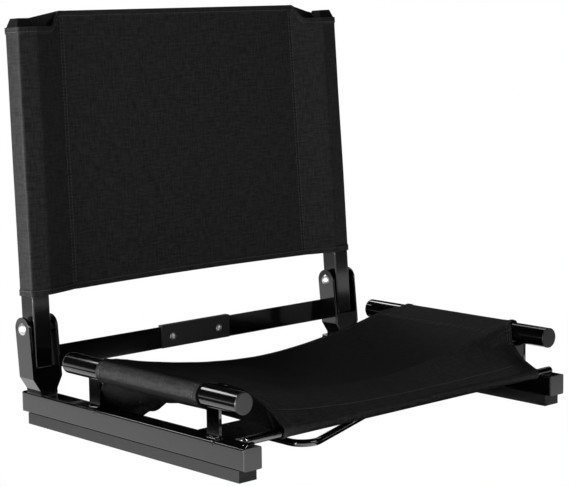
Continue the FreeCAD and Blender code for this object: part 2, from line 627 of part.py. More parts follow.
# Bench hook: one bent rod whose two stubs turn in the clips
hook = new_body("bench_hook")
route = new_sketch(hook, "route", "XY_Plane")
hook_stub = clip_offset + size("clip_width") / 2 + size("hook_stub_end")
corners = [(hook_left_x - hook_stub, 0), (hook_left_x, 0), (hook_left_x, -size("hook_reach")),
           (hook_right_x, 0), (hook_right_x + hook_stub, 0)]
bent_route(route, corners, [size("hook_elbow"), size("hook_nose"), size("hook_elbow")])
rod_section = new_sketch(hook, "section", "YZ_Plane", corners[0][0])
add_circle(rod_section, size("hook_diameter") / 2, "Sizes.hook_diameter / 2")
doc.recompute()
bent = hook.newObject("PartDesign::AdditivePipe", "bench_hook_rod")
bent.Profile = rod_section
bent.Spine = (route, [])
node(hook, Placement(Vector(0, hook_y, hook_z), Rotation()))


def wire(points, arcs, flat):
    # Closed wire through flat points, as add_outline draws it; flat turns a pair into a place
    edges = []
    count = len(points)
    for index in range(count):
        start = flat(*points[index])
        end = flat(*points[(index + 1) % count])
        if index in arcs:
            edges.append(Part.Arc(start, flat(*arcs[index]), end).toShape())
        else:
            edges.append(Part.LineSegment(start, end).toShape())
    return Part.Wire(edges)


# Back canvas, in the back's own leaning frame with its origin between the pivots
back_seam = half_track + half_side - size("back_sleeve")
back_top = size("upright_reach") + size("back_canvas_rise")
back_bottom = back_top - size("back_canvas_height")
sleeve_top = back_top - size("back_sleeve_drop")


def back_panel():
    # Doubled canvas between the two seams, which are drawn in with the uprights
    low = back_seam - draw * back_bottom
    high = back_seam - draw * back_top
    corners = [(-low, back_bottom), (low, back_bottom), (high, back_top), (-high, back_top)]
    face = Part.Face(wire(corners, {}, lambda x, z: Vector(x, -cloth, z)))
    return face.extrude(Vector(0, 2 * cloth, 0))


def back_sleeve(hand):
    # Canvas from the seam round one upright and back, with its upper corner cut down towards the upright
    def section(room, sewn):
        deep = half_side + room
        corner = size("tube_corner") + room
        far = half_track + deep
        bow = corner * (1 - math.sqrt(0.5))
        points = sewn + [(rail_inner_x, -deep), (far - corner, -deep), (far, corner - deep),
                         (far, deep - corner), (far - corner, deep), (rail_inner_x, deep)]
        first = len(sewn)
        bends = {first + 1: (far - bow, bow - deep), first + 3: (far - bow, deep - bow)}
        return Part.Face(wire(points, bends,
                              lambda x, y: Vector(hand * (x - draw * back_bottom), y, back_bottom)))

    outside = section(size("canvas_gap") + cloth, [(back_seam, cloth), (back_seam, -cloth)])
    inside = section(size("canvas_gap"), [(back_seam + cloth, 0)])
    height = back_top - back_bottom
    tube = outside.cut(inside).extrude(Vector(-hand * draw * height, 0, height))
    beyond = half_track + size("tube_side")
    high = back_seam - draw * back_top
    slope = [(high, back_top), (rail_inner_x - draw * sleeve_top, sleeve_top), (beyond, sleeve_top),
             (beyond, back_top + cloth), (high, back_top + cloth)]
    corner = Part.Face(wire(slope, {}, lambda x, z: Vector(hand * x, -size("tube_side"), z)))
    return tube.cut(corner.extrude(Vector(0, 2 * size("tube_side"), 0)))


# Seat sling: sleeves on the tubes, a sagging panel, and an apron down to the hem on the front rod
def seat_canvas():
    bore = seat_tube_radius + size("canvas_gap")
    outer = bore + cloth
    middle = bore + cloth / 2
    dip = -size("seat_dip")
    sweep = (half_track ** 2 + dip ** 2 - middle ** 2) / (2 * (middle - dip))
    arch_z = seat_tube_z + dip + sweep
    sleeve_front = front_standoff_y + size("standoff_width") / 2 + size("sleeve_front_gap")
    sleeve_rear = rear_standoff_y - size("standoff_width") / 2 - size("sleeve_rear_gap")
    free_edge = half_track - size("sling_inset")
    upper = sweep - cloth / 2
    lower = sweep + cloth / 2

    def sag(radius, x):
        return arch_z - math.sqrt(radius ** 2 - x ** 2)

    def at(y):
        return lambda x, z: Vector(x, y, z)

    # Where the sling's two faces meet the sleeve's outer face
    touch_x = half_track - outer * half_track / (upper + outer)
    touch_z = seat_tube_z + outer * (arch_z - seat_tube_z) / (upper + outer)
    apart = math.hypot(half_track, arch_z - seat_tube_z)
    along = (lower ** 2 - outer ** 2 + apart ** 2) / (2 * apart)
    aside = math.sqrt(lower ** 2 - along ** 2)
    toward = (half_track / apart, (seat_tube_z - arch_z) / apart)
    meet_x = toward[0] * along + toward[1] * aside
    meet_z = arch_z + toward[1] * along - toward[0] * aside
    low_z = seat_tube_z - outer
    out_x = half_track + outer
    round_x = outer * math.sqrt(0.5)
    points = [(-touch_x, touch_z), (touch_x, touch_z), (out_x, seat_tube_z), (half_track, low_z),
              (meet_x, meet_z), (-meet_x, meet_z), (-half_track, low_z), (-out_x, seat_tube_z)]
    quarter = (half_track + round_x, seat_tube_z + round_x)
    under = (half_track + round_x, seat_tube_z - round_x)
    inward = (half_track - round_x, seat_tube_z - round_x)
    arcs = {0: (0, sag(upper, 0)), 1: quarter, 2: under, 3: inward, 4: (0, sag(lower, 0)),
            5: (-inward[0], inward[1]), 6: (-under[0], under[1]), 7: (-quarter[0], quarter[1])}
    face = Part.Face(wire(points, arcs, at(sleeve_front)))
    for hand in SIDES.values():
        ring = Part.makeCircle(bore, Vector(hand * half_track, sleeve_front, seat_tube_z), Vector(0, 1, 0))
        face = face.cut(Part.Face(Part.Wire([ring])))
    sleeved = face.extrude(Vector(0, sleeve_rear - sleeve_front, 0))

    def strip(y):
        ends = [(-free_edge, sag(upper, free_edge)), (free_edge, sag(upper, free_edge)),
                (free_edge, sag(lower, free_edge)), (-free_edge, sag(lower, free_edge))]
        return wire(ends, {0: (0, sag(upper, 0)), 2: (0, sag(lower, 0))}, at(y))

    tail = Part.Face(strip(sleeve_rear)).extrude(Vector(0, size("sling_tail"), 0))
    hem_bore = size("front_rod_diameter") / 2 + size("canvas_gap")
    hem_left = size("hem_left_inset") - rail_inner_x
    hem_right = rail_inner_x - size("hem_right_inset")
    hem_length = hem_right - hem_left
    crown = front_rod_z + hem_bore
    hem_ends = [(hem_left, crown + cloth), (hem_right, crown + cloth),
                (hem_right, crown), (hem_left, crown)]
    apron = Part.makeLoft([strip(sleeve_front), wire(hem_ends, {}, at(front_rod_y))], True, True)
    hem_start = Vector(hem_left, front_rod_y, front_rod_z)
    rightward = Vector(1, 0, 0)
    rod_room = Part.makeCylinder(hem_bore, hem_length, hem_start, rightward)
    hem = Part.makeCylinder(hem_bore + cloth, hem_length, hem_start, rightward).cut(rod_room)
    apron = apron.cut(rod_room)
    return sleeved.fuse([tail, apron, hem]).removeSplitter()


covers = {"back_canvas": back_panel()}
covers.update({f"{name}_back_sleeve": back_sleeve(hand) for name, hand in SIDES.items()})
for label, shape in covers.items():
    cover = doc.addObject("Part::Feature", label)
    cover.Shape = shape
    node(cover, Placement(Vector(0, pivot_y, pivot_z), LEANING))
sling = doc.addObject("Part::Feature", "seat_canvas")
sling.Shape = seat_canvas()
node(sling)

# Every object has to be sound before anything is written
doc.recompute()
for item in doc.Objects:
    if "Invalid" in item.State or "Error" in item.State:
        raise RuntimeError(f"{item.Label} failed: {item.State}")
for piece in NODES:
    if piece.Shape.isNull() or not piece.Shape.isValid() or not piece.Shape.Solids:
        raise RuntimeError(f"{piece.Label} has no sound solid")

os.makedirs("parts", exist_ok=True)
for piece in NODES:
    piece.Shape.exportStep(f"parts/{piece.Label}.step")
    print(piece.Label, len(piece.Shape.Solids), round(piece.Shape.Volume))
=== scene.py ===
import bisect, bpy, json, math
from mathutils import Matrix, Vector, noise


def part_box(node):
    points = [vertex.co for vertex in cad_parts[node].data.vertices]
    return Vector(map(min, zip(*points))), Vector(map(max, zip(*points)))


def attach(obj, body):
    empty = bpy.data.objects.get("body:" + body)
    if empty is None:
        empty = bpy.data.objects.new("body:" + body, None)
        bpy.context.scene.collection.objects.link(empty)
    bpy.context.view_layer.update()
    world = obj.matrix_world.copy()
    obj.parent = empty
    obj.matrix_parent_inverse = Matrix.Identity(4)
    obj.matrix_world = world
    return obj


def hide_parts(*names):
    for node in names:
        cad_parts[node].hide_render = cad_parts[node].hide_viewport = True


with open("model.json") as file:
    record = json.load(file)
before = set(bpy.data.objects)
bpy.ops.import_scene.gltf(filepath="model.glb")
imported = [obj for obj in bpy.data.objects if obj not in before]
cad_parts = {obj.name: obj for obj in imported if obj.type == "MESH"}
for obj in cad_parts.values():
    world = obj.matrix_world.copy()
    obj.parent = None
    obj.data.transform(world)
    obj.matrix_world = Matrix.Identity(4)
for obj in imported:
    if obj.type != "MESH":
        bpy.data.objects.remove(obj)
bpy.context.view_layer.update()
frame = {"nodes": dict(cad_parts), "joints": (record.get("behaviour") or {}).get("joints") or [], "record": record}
scene = bpy.context.scene
mm = 0.001


def deselectAll():
    bpy.ops.object.select_all(action="DESELECT")


def linear(hexColour):
    # sRGB hex to the linear colour that shaders take
    channels = [int(hexColour[i:i + 2], 16) / 255 for i in (1, 3, 5)]
    return [c / 12.92 if c <= 0.04045 else ((c + 0.055) / 1.055) ** 2.4 for c in channels] + [1.0]


def addNode(tree, kind, settings=None, links=None):
    # settings fill plain attributes or, by name or number, input sockets; links join other nodes' outputs
    made = tree.nodes.new(kind)
    for key, value in (settings or {}).items():
        if isinstance(key, str) and hasattr(made, key):
            setattr(made, key, value)
        else:
            made.inputs[key].default_value = value
    for key, source in (links or {}).items():
        tree.links.new(source, made.inputs[key])
    return made


def newMaterial(name, shader):
    # A bare Principled material; shader fills its own sockets
    made = bpy.data.materials.new(name)
    made.use_nodes = True
    tree = made.node_tree
    body = tree.nodes["Principled BSDF"]
    for key, value in shader.items():
        body.inputs[key].default_value = value
    return made, tree, body


def addGrain(tree, sizeMm, detail, source=None):
    # Noise with lumps of a real size, laid on the object unless another source is given
    if source is None:
        source = addNode(tree, "ShaderNodeTexCoord").outputs["Object"]
    grain = addNode(tree, "ShaderNodeTexNoise", {"Scale": 1 / (sizeMm * mm), "Detail": detail},
                    {"Vector": source})
    return grain.outputs["Fac"]


def addBands(tree, direction, pitchMm, source, distortion=0.0):
    # Bands with a real pitch; a wave texture of scale 1 repeats every 0.314
    bands = addNode(tree, "ShaderNodeTexWave", {
        "bands_direction": direction, "Scale": 0.314 / (pitchMm * mm), "Distortion": distortion,
        "Detail": 1.0}, {"Vector": source})
    return bands.outputs["Fac"]


def addTint(tree, body, share, first, second):
    # Base colour between two hex colours
    tint = addNode(tree, "ShaderNodeMix", {"data_type": "RGBA", 6: linear(first), 7: linear(second)},
                   {0: share})
    tree.links.new(tint.outputs[2], body.inputs["Base Color"])


def addRelief(tree, body, height, depthMm, edgeMm=None):
    # Bump of a real depth; edgeMm rounds the solid's sharp edges as well
    bump = addNode(tree, "ShaderNodeBump", {"Strength": 1.0, "Distance": depthMm * mm}, {"Height": height})
    if edgeMm:
        rim = addNode(tree, "ShaderNodeBevel", {"samples": 6, "Radius": edgeMm * mm})
        tree.links.new(rim.outputs["Normal"], bump.inputs["Normal"])
    tree.links.new(bump.outputs["Normal"], body.inputs["Normal"])
    return bump.outputs["Normal"]


# Gloss powder coat on steel: deep black with sharp streaks, and the faint orange peel of baked powder
powderCoat = {"colour": "#050506", "roughness": 0.16, "gloss": 0.3, "coat": 1.0, "coatRoughness": 0.06,
              "peelMm": 1.6, "peelDepthMm": 0.006, "edgeMm": 0.45}
# The channel over the rear brace has a duller, greyer coat
satinCoat = {"colour": "#161617", "roughness": 0.5, "gloss": 0.5, "coat": 0.0, "coatRoughness": 0.06,
             "peelMm": 1.2, "peelDepthMm": 0.02, "edgeMm": 0.6}


def makePowderCoat(name, look):
    made, tree, body = newMaterial(name, {
        "Base Color": linear(look["colour"]), "Roughness": look["roughness"],
        "Specular IOR Level": look["gloss"], "Coat Weight": look["coat"],
        "Coat Roughness": look["coatRoughness"]})
    normal = addRelief(tree, body, addGrain(tree, look["peelMm"], 2.0), look["peelDepthMm"], look["edgeMm"])
    tree.links.new(normal, body.inputs["Coat Normal"])
    return made


# Moulded polyethylene plugs: satin black with the fine grain of a spark-eroded mould
capPlastic = {"colour": "#242424", "roughness": 0.42, "gloss": 0.5, "grainMm": 0.7, "grainDepthMm": 0.03,
              "edgeMm": 0.6}
# The plugs on top of the uprights get a darkened copy of the plastic: painted shade of the sleeves round them
shadedTopPlastic = {"colour": "#070707", "roughness": 0.6, "gloss": 0.15, "grainMm": 0.7, "grainDepthMm": 0.03,
              "edgeMm": 0.6}


def makeCapPlastic(name, look):
    made, tree, body = newMaterial(name, {
        "Base Color": linear(look["colour"]), "Roughness": look["roughness"], "IOR": 1.51,
        "Specular IOR Level": look["gloss"]})
    addRelief(tree, body, addGrain(tree, look["grainMm"], 3.0), look["grainDepthMm"], look["edgeMm"])
    return made


# Extruded rubber strip: matt, a little dusty, with faint lines along its length
padRubber = {"colour": "#101010", "dusty": "#181818", "roughness": 0.7, "gloss": 0.3, "dustMm": 16.667,
             "lineMm": 1.2, "lineDepthMm": 0.04, "lineStretch": (1.0, 0.03, 1.0)}


def makePadRubber():
    made, tree, body = newMaterial("extrudedRubber", {
        "Roughness": padRubber["roughness"], "IOR": 1.52, "Specular IOR Level": padRubber["gloss"]})
    place = addNode(tree, "ShaderNodeTexCoord").outputs["Object"]
    stretched = addNode(tree, "ShaderNodeMapping", {"Scale": padRubber["lineStretch"]}, {"Vector": place})
    lines = addGrain(tree, padRubber["lineMm"], 2.0, stretched.outputs["Vector"])
    dust = addGrain(tree, padRubber["dustMm"], 4.0, place)
    addTint(tree, body, dust, padRubber["colour"], padRubber["dusty"])
    addRelief(tree, body, lines, padRubber["lineDepthMm"])
    return made


# Bright zinc on rivets: silver, with the small dimples that the setting tool leaves
rivetZinc = {"colour": "#dededf", "roughness": 0.42, "dimpleMm": 1.5, "dimpleDepthMm": 0.12}


def makeRivetZinc():
    made, tree, body = newMaterial("zincPlatedSteel", {
        "Base Color": linear(rivetZinc["colour"]), "Metallic": 1.0, "Roughness": rivetZinc["roughness"]})
    addRelief(tree, body, addGrain(tree, rivetZinc["dimpleMm"], 1.0), rivetZinc["dimpleDepthMm"])
    return made


# Turned nylon spacers: dark, with a dull shine
spacerNylon = {"colour": "#141414", "roughness": 0.35, "ringMm": 0.4, "ringDepthMm": 0.02}


def makeSpacerNylon():
    made, tree, body = newMaterial("turnedNylon", {
        "Base Color": linear(spacerNylon["colour"]), "Roughness": spacerNylon["roughness"], "IOR": 1.53})
    addRelief(tree, body, addGrain(tree, spacerNylon["ringMm"], 2.0), spacerNylon["ringDepthMm"])
    return made


slotMaterials = {"frame_paint": makePowderCoat("glossPowderCoat", powderCoat),
                 "cap_plastic": makeCapPlastic("mouldedPolyethylene", capPlastic),
                 "pad_rubber": makePadRubber(), "zinc_steel": makeRivetZinc(),
                 "spacer_nylon": makeSpacerNylon()}
# Painted shade: the two top plugs take the darkened plastic in place of the shade the sleeves cast on them
shadedTopPlug = makeCapPlastic("shadedTopPolyethylene", shadedTopPlastic)
ownLooks = {"brace_channel": makePowderCoat("satinPowderCoat", satinCoat),
            "left_upright_top_cap": shadedTopPlug, "right_upright_top_cap": shadedTopPlug}
for row in frame["record"]["subparts"]:
    if row["material_slot"] in slotMaterials:
        solid = frame["nodes"][row["node"]]
        solid.data.materials.clear()
        solid.data.materials.append(ownLooks.get(row["node"], slotMaterials[row["material_slot"]]))
print("materials on the frame's solids")

# Black polyester canvas: plain weave, matt, with thicker slub threads both ways.
# The threads are drawn coarser than real ones so that they show
canvas = {"colour": "#080808", "slub": "#252525", "roughness": 0.62, "gloss": 0.25, "threadMm": 1.1,
          "threadDepthMm": 0.09, "threadWander": 0.6, "slubLongMm": 16.0, "slubHighMm": 2.6,
          "slubRange": (0.75, 1.25)}


def makeCanvas():
    made, tree, body = newMaterial("plainWeaveCanvas", {
        "Roughness": canvas["roughness"], "IOR": 1.45, "Specular IOR Level": canvas["gloss"]})
    place = addNode(tree, "ShaderNodeUVMap").outputs["UV"]
    threads = [addBands(tree, direction, canvas["threadMm"], place, canvas["threadWander"])
               for direction in ("X", "Y")]
    weave = addNode(tree, "ShaderNodeMath", {"operation": "MULTIPLY"}, {0: threads[0], 1: threads[1]})
    streaks = []
    sizes = (canvas["slubLongMm"], canvas["slubHighMm"])
    for wide, high in (sizes, sizes[::-1]):
        streaked = addNode(tree, "ShaderNodeMapping", {"Scale": (1 / (wide * mm), 1 / (high * mm), 1.0)},
                           {"Vector": place})
        streaks.append(addNode(tree, "ShaderNodeTexNoise", {"Scale": 1.0, "Detail": 3.0, "Roughness": 0.6},
                               {"Vector": streaked.outputs["Vector"]}))
    crossed = addNode(tree, "ShaderNodeMath", {"operation": "ADD"},
                      {0: streaks[0].outputs["Fac"], 1: streaks[1].outputs["Fac"]})
    low, high = canvas["slubRange"]
    slubs = addNode(tree, "ShaderNodeMapRange", {"From Min": low, "From Max": high},
                    {"Value": crossed.outputs[0]})
    addTint(tree, body, slubs.outputs["Result"], canvas["colour"], canvas["slub"])
    both = addNode(tree, "ShaderNodeMath", {"operation": "MULTIPLY"},
                   {0: weave.outputs[0], 1: slubs.outputs["Result"]})
    addRelief(tree, body, both.outputs[0], canvas["threadDepthMm"])
    return made


# Spun polyester sewing thread: twisted, a little lighter than the cloth
thread = {"colour": "#343434", "roughness": 0.55, "sheen": 0.2, "twistMm": 0.9, "twistDepthMm": 0.08}


def makeThread():
    made, tree, body = newMaterial("spunPolyesterThread", {
        "Base Color": linear(thread["colour"]), "Roughness": thread["roughness"], "IOR": 1.5,
        "Sheen Weight": thread["sheen"]})
    place = addNode(tree, "ShaderNodeTexCoord").outputs["Object"]
    addRelief(tree, body, addBands(tree, "DIAGONAL", thread["twistMm"], place), thread["twistDepthMm"])
    return made


canvasLook, threadLook = makeCanvas(), makeThread()


def ease(value, low, high):
    # 0 below low, 1 above high, smooth between
    share = min(max((value - low) / (high - low), 0.0), 1.0)
    return share * share * (3 - 2 * share)


def near(value, middle, width):
    return math.exp(-((value - middle) / width) ** 2)


def spaced(low, high, step):
    # Even steps from low up to, but without, high
    count = max(1, round((high - low) / step))
    return [low + (high - low) * k / count for k in range(count)]


def bendRun(corners, radii, steps=5):
    # Flat line through corners, rounded at each inner corner by its radius
    run = [Vector(corners[0])]
    for before, corner, after, radius in zip(corners, corners[1:], corners[2:], radii):
        corner = Vector(corner)
        back = (Vector(before) - corner).normalized()
        ahead = (Vector(after) - corner).normalized()
        half = back.angle(ahead) / 2
        centre = corner + (back + ahead).normalized() * (radius / math.sin(half))
        enter = (corner + back * (radius / math.tan(half)) - centre) / radius
        leave = (corner + ahead * (radius / math.tan(half)) - centre) / radius
        run += [centre + radius * enter.slerp(leave, k / steps) for k in range(steps + 1)]
    run.append(Vector(corners[-1]))
    return run


def runMarks(run):
    # Distance from the start of a line to each of its points
    marks = [0.0]
    for one, two in zip(run, run[1:]):
        marks.append(marks[-1] + (two - one).length)
    return marks


def onRun(run, marks, distance):
    # Place and direction at a distance along a line
    k = min(max(bisect.bisect_right(marks, distance) - 1, 0), len(run) - 2)
    ahead = (run[k + 1] - run[k]).normalized()
    return run[k] + ahead * (distance - marks[k]), ahead


def gridSheet(name, across, along, place, kept=None):
    # Grid of cloth; place(column, row) gives a point's spot on the object and its spot on the flat cloth,
    # in mm, and kept(column, row) says which faces are left after cutting
    deselectAll()
    bpy.ops.mesh.primitive_grid_add(x_subdivisions=across, y_subdivisions=along, size=2.0)
    sheet = bpy.context.object
    sheet.name = sheet.data.name = name
    flatSpots, crossings = [], []
    for corner in sheet.data.vertices:
        crossings.append((round((corner.co.x + 1) / 2 * across), round((corner.co.y + 1) / 2 * along)))
        spot, flat = place(*crossings[-1])
        corner.co = Vector(spot) * mm
        flatSpots.append(Vector(flat) * mm)
    layer = sheet.data.uv_layers.active.data
    for loop in sheet.data.loops:
        layer[loop.index].uv = flatSpots[loop.vertex_index]
    if kept:
        bpy.ops.object.mode_set(mode="EDIT")
        bpy.ops.mesh.select_mode(type="FACE")
        bpy.ops.mesh.select_all(action="DESELECT")
        bpy.ops.object.mode_set(mode="OBJECT")
        for face in sheet.data.polygons:
            spots = [crossings[index] for index in face.vertices]
            face.select = not kept(min(i for i, j in spots), min(j for i, j in spots))
        bpy.ops.object.mode_set(mode="EDIT")
        bpy.ops.mesh.delete(type="FACE")
        bpy.ops.object.mode_set(mode="OBJECT")
    return sheet


# Folded hems are thicker than the cloth, and fall off to it over a short way
hemEaseMm = 2.0


def thicken(sheet, made, edgeAt):
    # Outward thickness; edgeAt(u, v) gives a point's distance to the cloth's nearest hemmed edge
    hems = sheet.vertex_groups.new(name="hems")
    layer = sheet.data.uv_layers.active.data
    shares = [0.0] * len(sheet.data.vertices)
    for loop in sheet.data.loops:
        edge = edgeAt(*(layer[loop.index].uv / mm))
        shares[loop.vertex_index] = 1 - ease(edge, made["hemWideMm"] - hemEaseMm, made["hemWideMm"])
    for index, share in enumerate(shares):
        hems.add([index], share, "REPLACE")
    bpy.context.view_layer.objects.active = sheet
    wall = sheet.modifiers.new("wall", "SOLIDIFY")
    wall.thickness = made["hemMm"] * mm
    wall.offset = 1.0
    wall.vertex_group = "hems"
    wall.thickness_vertex_group = made["clothMm"] / made["hemMm"]
    wall.use_even_offset = False
    bpy.ops.object.modifier_apply(modifier="wall")
    deselectAll()
    sheet.select_set(True)
    bpy.ops.object.shade_smooth_by_angle(angle=math.radians(50))
    sheet.data.materials.append(canvasLook)


# Lockstitch: a plump thread that dips into the cloth at both ends
stitch = {"pitchMm": 4.2, "sizeMm": (0.8, 3.3, 0.55), "liftMm": 0.1}


def stitchMiddles(low, high):
    count = round((high - low) / stitch["pitchMm"])
    return [low + (high - low) * (k + 0.5) / count for k in range(count)]


def setInRows(name, rows, sizeMm, look):
    # Copies of one small rounded lump; rows hold (spot, direction along the row, outward direction, scale)
    deselectAll()
    bpy.ops.mesh.primitive_uv_sphere_add(segments=6, ring_count=5, radius=0.5)
    seed = bpy.context.object
    copies = []
    for spot, ahead, outward, scale in rows:
        one = bpy.data.objects.new(name, seed.data.copy())
        aside = outward.cross(ahead).normalized()
        turn = Matrix((aside, ahead, outward)).transposed()
        grow = Matrix.Diagonal(Vector(sizeMm) * scale)
        one.data.transform((turn @ grow * mm).to_4x4())
        one.data.transform(Matrix.Translation(spot * mm))
        scene.collection.objects.link(one)
        copies.append(one)
    bpy.data.objects.remove(seed)
    deselectAll()
    for one in copies:
        one.select_set(True)
    bpy.context.view_layer.objects.active = copies[0]
    bpy.ops.object.join()
    joined = copies[0]
    joined.name = joined.data.name = name
    bpy.ops.object.shade_smooth()
    joined.data.materials.clear()
    joined.data.materials.append(look)
    return joined


# Back cover: one cloth, folded round each upright and sewn to its own back along the seams
backCover = {"clothMm": 0.9, "hemMm": 1.9, "hemWideMm": 9.0, "seamMm": 199.7, "rearLapMm": 12.0,
             "lapGapMm": 0.1, "bottomMm": 39.8, "topMm": 385.8, "bottomBowMm": 2.0, "sleeveDropMm": 18.6,
             "dropRunMm": 20.0, "rearDropMm": 9.0, "crestMm": 3.2, "bendMm": (9.0, 14.0, 3.0, 3.0, 5.0, 9.0),
             "uprightMm": 25.4, "looseMm": 0.35, "drawMm": 5.0, "drawOverMm": 377.7, "leanDeg": 3.3,
             "rowMm": (1.2, 5.7), "topRowMm": 6.5, "grooveMm": 0.35, "grooveWideMm": 1.3,
             "waveMm": 0.5, "waveLongMm": (60.0, 140.0), "tightMm": 40.0,
             "puckerMm": 0.3, "puckerPitchMm": 9.0, "puckerInMm": 3.0, "puckerWideMm": 7.0,
             "wander": 3.0, "wanderMm": (30.0, 25.0),
             "seamBandMm": (12.0, 14.0), "columnStepMm": (5.0, 1.2, 3.0), "hemBandMm": 12.0,
             "rowStepMm": (1.5, 2.6)}


def makeBackCover():
    made = backCover
    hinge = next(j for j in frame["joints"] if j["name"] == "back_fold")
    pivot = Vector(hinge["pos_m"]) / mm
    lean = math.radians(made["leanDeg"])
    rise = Vector((0, math.sin(lean), math.cos(lean)))
    rearward = Vector((0, math.cos(lean), -math.sin(lean)))
    low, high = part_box("right_rail")
    trackMm = (low.x + high.x) / 2 / mm
    inner = trackMm - made["uprightMm"] / 2
    deep = made["uprightMm"] / 2 + made["looseMm"]
    seam, gap = made["seamMm"], made["lapGapMm"]
    corners = [(0, 0), (seam, 0), (inner, -deep - made["crestMm"]), (trackMm + deep, -deep),
               (trackMm + deep, deep), (inner, deep), (seam, gap), (seam - made["rearLapMm"], gap)]
    run = bendRun(corners, made["bendMm"])
    marks = runMarks(run)
    rearFace = marks[-1] - made["rearLapMm"] - math.hypot(inner - seam, deep)
    sideEnd = rearFace - made["uprightMm"]
    heights = made["topMm"] - made["bottomMm"]

    def edges(reach, x):
        # Lower and upper edge at a distance from the cover's middle: the front drops at once, the rear
        # slopes evenly
        fall = made["sleeveDropMm"] * ease(reach, seam, seam + made["dropRunMm"])
        if reach > sideEnd:
            slope = made["rearDropMm"] * min(max((x - seam) / (inner - seam), 0.0), 1.0)
            fall += (slope - fall) * ease(reach, sideEnd, rearFace)
        bow = made["bottomBowMm"] * max(0.0, 1 - (x / seam) ** 2)
        return made["bottomMm"] + bow, made["topMm"] - fall

    def puff(reach, u, height):
        # Soft unevenness of the cloth: grooves at the stitch rows, puckers beside them, loose waves elsewhere
        wide, high = made["waveLongMm"]
        lift = made["waveMm"] * noise.noise(Vector((u / wide, height / high, 3.0)))
        lift *= ease(reach, 0, made["tightMm"])
        if reach < rearFace:
            for row in made["rowMm"]:
                lift -= made["grooveMm"] * near(reach, seam - row, made["grooveWideMm"])
            wide, high = made["wanderMm"]
            wander = made["wander"] * noise.noise(Vector((u / wide, height / high, 7.0)))
            wave = math.sin(2 * math.pi * height / made["puckerPitchMm"] + wander)
            lift += made["puckerMm"] * wave * near(reach, seam - made["puckerInMm"], made["puckerWideMm"])
        return lift

    def spot(u, share, lift=0.0):
        reach = min(abs(u), marks[-1])
        hand = 1 if u >= 0 else -1
        flat, ahead = onRun(run, marks, reach)
        bottom, top = edges(reach, flat.x)
        height = bottom + (top - bottom) * share
        lift += puff(reach, u, height)
        drawn = made["drawMm"] * height / made["drawOverMm"] * min(reach / seam, 1.0)
        x = hand * (flat.x + ahead.y * lift - drawn)
        return (pivot + Vector((x, 0, 0)) + rearward * (flat.y - ahead.x * lift) + rise * height), height

    inside, outside = seam - made["seamBandMm"][0], seam + made["seamBandMm"][1]
    wideStep, seamStep, sleeveStep = made["columnStepMm"]
    half = sorted(set(spaced(0, inside, wideStep) + spaced(inside, outside, seamStep)
                      + spaced(outside, marks[-1], sleeveStep) + marks[1:]))
    columns = [-u for u in reversed(half[1:])] + half
    band, (hemStep, rowStep) = made["hemBandMm"], made["rowStepMm"]
    rows = [k / heights for k in (spaced(0, band, hemStep) + spaced(band, heights - band, rowStep)
                                  + spaced(heights - band, heights, hemStep))] + [1.0]

    def place(i, j):
        where, height = spot(columns[i], rows[j])
        return where, (columns[i], height)

    def edgeAt(u, height):
        bottom, top = edges(abs(u), onRun(run, marks, min(abs(u), marks[-1]))[0].x)
        return min(height - bottom, top - height)

    sheet = gridSheet("backCover", len(columns) - 1, len(rows) - 1, place)
    thicken(sheet, made, edgeAt)

    def sewn(u, share, du, dv, lift):
        here = spot(u, share, lift)[0]
        ahead = (spot(u + du, share + dv, lift)[0] - here).normalized()
        aside = spot(u + dv * heights, share - du / heights, lift)[0] - here
        return here, ahead, ahead.cross(aside).normalized(), 1.0

    rowsSewn = []
    onCloth, onHem = made["clothMm"] + stitch["liftMm"], made["hemMm"] + stitch["liftMm"]
    edgeRows = (1 - made["topRowMm"] / heights, made["topRowMm"] / heights)
    for hand in (-1, 1):
        for row in made["rowMm"]:
            for height in stitchMiddles(0, heights):
                rowsSewn.append(sewn(hand * (seam - row), height / heights, 0, 0.004, onCloth))
    for share in edgeRows:
        rowsSewn += [sewn(u, share, 1.0, 0, onHem) for u in stitchMiddles(-seam, seam)]
    for hand in (-1, 1):
        for share in edgeRows:
            rowsSewn += [sewn(hand * u, share, 1.0, 0, onHem) for u in stitchMiddles(seam, rearFace)]
    stitches = setInRows("backStitches", rowsSewn, stitch["sizeMm"], threadLook)
    for piece in (sheet, stitches):
        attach(piece, "backrest")
    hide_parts("back_canvas", "left_back_sleeve", "right_back_sleeve")


makeBackCover()
print("back cover and its seams")


